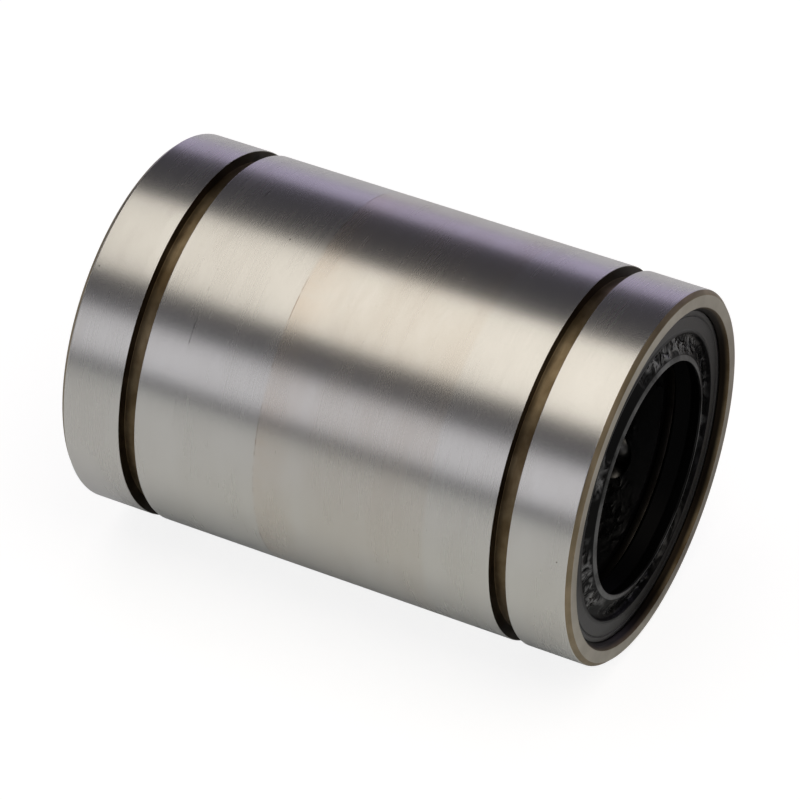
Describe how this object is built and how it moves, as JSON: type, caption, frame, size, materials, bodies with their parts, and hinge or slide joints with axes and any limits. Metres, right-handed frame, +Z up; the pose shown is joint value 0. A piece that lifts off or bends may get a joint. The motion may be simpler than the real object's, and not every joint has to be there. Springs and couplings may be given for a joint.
{
  "type": "linear ball bearing",
  "caption": "Closed linear ball bearing lying on its side: steel sleeve with two snap-ring grooves, rubber end seals, cage and recirculating ball circuits.",
  "frame": {"origin": "centre of the bearing, on its axis, midway between the end faces", "axes": "+X along the bore towards the front end, +Z up with the bearing lying on its side"},
  "size_m": [0.058, 0.04, 0.04],
  "materials": {
    "sleeve_steel": "hardened, outside and end faces ground, grooves and chamfers left bronze-brown from heat treatment",
    "cage_resin": "moulded black resin",
    "ring_steel": "stamped steel, plain",
    "seal_rubber": "moulded black nitrile rubber, glossy with a film of grease",
    "ball_steel": "polished bearing steel, greased"
  },
  "bodies": {
    "housing": {"outer_sleeve": "sleeve_steel", "ball_cage": "cage_resin", "front_side_ring": "ring_steel", "rear_side_ring": "ring_steel", "front_end_seal": "seal_rubber", "rear_end_seal": "seal_rubber"},
    "load_row_1": {"load_row_1": "ball_steel"},
    "return_row_1": {"return_row_1": "ball_steel"},
    "front_turn_1": {"front_turn_1": "ball_steel"},
    "rear_turn_1": {"rear_turn_1": "ball_steel"},
    "load_row_2": {"load_row_2": "ball_steel"},
    "return_row_2": {"return_row_2": "ball_steel"},
    "front_turn_2": {"front_turn_2": "ball_steel"},
    "rear_turn_2": {"rear_turn_2": "ball_steel"},
    "load_row_3": {"load_row_3": "ball_steel"},
    "return_row_3": {"return_row_3": "ball_steel"},
    "front_turn_3": {"front_turn_3": "ball_steel"},
    "rear_turn_3": {"rear_turn_3": "ball_steel"},
    "load_row_4": {"load_row_4": "ball_steel"},
    "return_row_4": {"return_row_4": "ball_steel"},
    "front_turn_4": {"front_turn_4": "ball_steel"},
    "rear_turn_4": {"rear_turn_4": "ball_steel"},
    "load_row_5": {"load_row_5": "ball_steel"},
    "return_row_5": {"return_row_5": "ball_steel"},
    "front_turn_5": {"front_turn_5": "ball_steel"},
    "rear_turn_5": {"rear_turn_5": "ball_steel"},
    "load_row_6": {"load_row_6": "ball_steel"},
    "return_row_6": {"return_row_6": "ball_steel"},
    "front_turn_6": {"front_turn_6": "ball_steel"},
    "rear_turn_6": {"rear_turn_6": "ball_steel"}
  },
  "joints": [
    {"name": "load_row_slide_1", "type": "slide", "parent": "housing", "child": "load_row_1", "axis": [1, 0, 0], "range_m": [-0.00198, 0.00198]},
    {"name": "return_row_slide_1", "type": "slide", "parent": "housing", "child": "return_row_1", "axis": [1, 0, 0], "range_m": [-0.00198, 0.00198]},
    {"name": "front_turn_hinge_1", "type": "hinge", "parent": "housing", "child": "front_turn_1", "pos_m": [0.01777, 0.01384, 0.00477], "axis": [0, 0.8862, 0.4633], "range_deg": [-45, 45]},
    {"name": "rear_turn_hinge_1", "type": "hinge", "parent": "housing", "child": "rear_turn_1", "pos_m": [-0.01777, 0.01384, 0.00477], "axis": [0, 0.8862, 0.4633], "range_deg": [-45, 45]},
    {"name": "load_row_slide_2", "type": "slide", "parent": "housing", "child": "load_row_2", "axis": [1, 0, 0], "range_m": [-0.00198, 0.00198]},
    {"name": "return_row_slide_2", "type": "slide", "parent": "housing", "child": "return_row_2", "axis": [1, 0, 0], "range_m": [-0.00198, 0.00198]},
    {"name": "front_turn_hinge_2", "type": "hinge", "parent": "housing", "child": "front_turn_2", "pos_m": [0.01777, 0.00279, 0.01437], "axis": [0, 0.0419, 0.9991], "range_deg": [-45, 45]},
    {"name": "rear_turn_hinge_2", "type": "hinge", "parent": "housing", "child": "rear_turn_2", "pos_m": [-0.01777, 0.00279, 0.01437], "axis": [0, 0.0419, 0.9991], "range_deg": [-45, 45]},
    {"name": "load_row_slide_3", "type": "slide", "parent": "housing", "child": "load_row_3", "axis": [1, 0, 0], "range_m": [-0.00198, 0.00198]},
    {"name": "return_row_slide_3", "type": "slide", "parent": "housing", "child": "return_row_3", "axis": [1, 0, 0], "range_m": [-0.00198, 0.00198]},
    {"name": "front_turn_hinge_3", "type": "hinge", "parent": "housing", "child": "front_turn_3", "pos_m": [0.01777, -0.01105, 0.0096], "axis": [0, -0.8443, 0.5358], "range_deg": [-45, 45]},
    {"name": "rear_turn_hinge_3", "type": "hinge", "parent": "housing", "child": "rear_turn_3", "pos_m": [-0.01777, -0.01105, 0.0096], "axis": [0, -0.8443, 0.5358], "range_deg": [-45, 45]},
    {"name": "load_row_slide_4", "type": "slide", "parent": "housing", "child": "load_row_4", "axis": [1, 0, 0], "range_m": [-0.00198, 0.00198]},
    {"name": "return_row_slide_4", "type": "slide", "parent": "housing", "child": "return_row_4", "axis": [1, 0, 0], "range_m": [-0.00198, 0.00198]},
    {"name": "front_turn_hinge_4", "type": "hinge", "parent": "housing", "child": "front_turn_4", "pos_m": [0.01777, -0.01384, -0.00477], "axis": [0, -0.8862, -0.4633], "range_deg": [-45, 45]},
    {"name": "rear_turn_hinge_4", "type": "hinge", "parent": "housing", "child": "rear_turn_4", "pos_m": [-0.01777, -0.01384, -0.00477], "axis": [0, -0.8862, -0.4633], "range_deg": [-45, 45]},
    {"name": "load_row_slide_5", "type": "slide", "parent": "housing", "child": "load_row_5", "axis": [1, 0, 0], "range_m": [-0.00198, 0.00198]},
    {"name": "return_row_slide_5", "type": "slide", "parent": "housing", "child": "return_row_5", "axis": [1, 0, 0], "range_m": [-0.00198, 0.00198]},
    {"name": "front_turn_hinge_5", "type": "hinge", "parent": "housing", "child": "front_turn_5", "pos_m": [0.01777, -0.00279, -0.01437], "axis": [0, -0.0419, -0.9991], "range_deg": [-45, 45]},
    {"name": "rear_turn_hinge_5", "type": "hinge", "parent": "housing", "child": "rear_turn_5", "pos_m": [-0.01777, -0.00279, -0.01437], "axis": [0, -0.0419, -0.9991], "range_deg": [-45, 45]},
    {"name": "load_row_slide_6", "type": "slide", "parent": "housing", "child": "load_row_6", "axis": [1, 0, 0], "range_m": [-0.00198, 0.00198]},
    {"name": "return_row_slide_6", "type": "slide", "parent": "housing", "child": "return_row_6", "axis": [1, 0, 0], "range_m": [-0.00198, 0.00198]},
    {"name": "front_turn_hinge_6", "type": "hinge", "parent": "housing", "child": "front_turn_6", "pos_m": [0.01777, 0.01105, -0.0096], "axis": [0, 0.8443, -0.5358], "range_deg": [-45, 45]},
    {"name": "rear_turn_hinge_6", "type": "hinge", "parent": "housing", "child": "rear_turn_6", "pos_m": [-0.01777, 0.01105, -0.0096], "axis": [0, 0.8443, -0.5358], "range_deg": [-45, 45]}
  ],
  "couplings": [
    {"joint": "return_row_slide_1", "follows": "load_row_slide_1", "ratio": -1},
    {"joint": "front_turn_hinge_1", "follows": "load_row_slide_1", "rad_per_m": 397.66},
    {"joint": "rear_turn_hinge_1", "follows": "load_row_slide_1", "rad_per_m": 397.66},
    {"joint": "return_row_slide_2", "follows": "load_row_slide_2", "ratio": -1},
    {"joint": "front_turn_hinge_2", "follows": "load_row_slide_2", "rad_per_m": 397.66},
    {"joint": "rear_turn_hinge_2", "follows": "load_row_slide_2", "rad_per_m": 397.66},
    {"joint": "return_row_slide_3", "follows": "load_row_slide_3", "ratio": -1},
    {"joint": "front_turn_hinge_3", "follows": "load_row_slide_3", "rad_per_m": 397.66},
    {"joint": "rear_turn_hinge_3", "follows": "load_row_slide_3", "rad_per_m": 397.66},
    {"joint": "return_row_slide_4", "follows": "load_row_slide_4", "ratio": -1},
    {"joint": "front_turn_hinge_4", "follows": "load_row_slide_4", "rad_per_m": 397.66},
    {"joint": "rear_turn_hinge_4", "follows": "load_row_slide_4", "rad_per_m": 397.66},
    {"joint": "return_row_slide_5", "follows": "load_row_slide_5", "ratio": -1},
    {"joint": "front_turn_hinge_5", "follows": "load_row_slide_5", "rad_per_m": 397.66},
    {"joint": "rear_turn_hinge_5", "follows": "load_row_slide_5", "rad_per_m": 397.66},
    {"joint": "return_row_slide_6", "follows": "load_row_slide_6", "ratio": -1},
    {"joint": "front_turn_hinge_6", "follows": "load_row_slide_6", "rad_per_m": 397.66},
    {"joint": "rear_turn_hinge_6", "follows": "load_row_slide_6", "rad_per_m": 397.66}
  ]
}
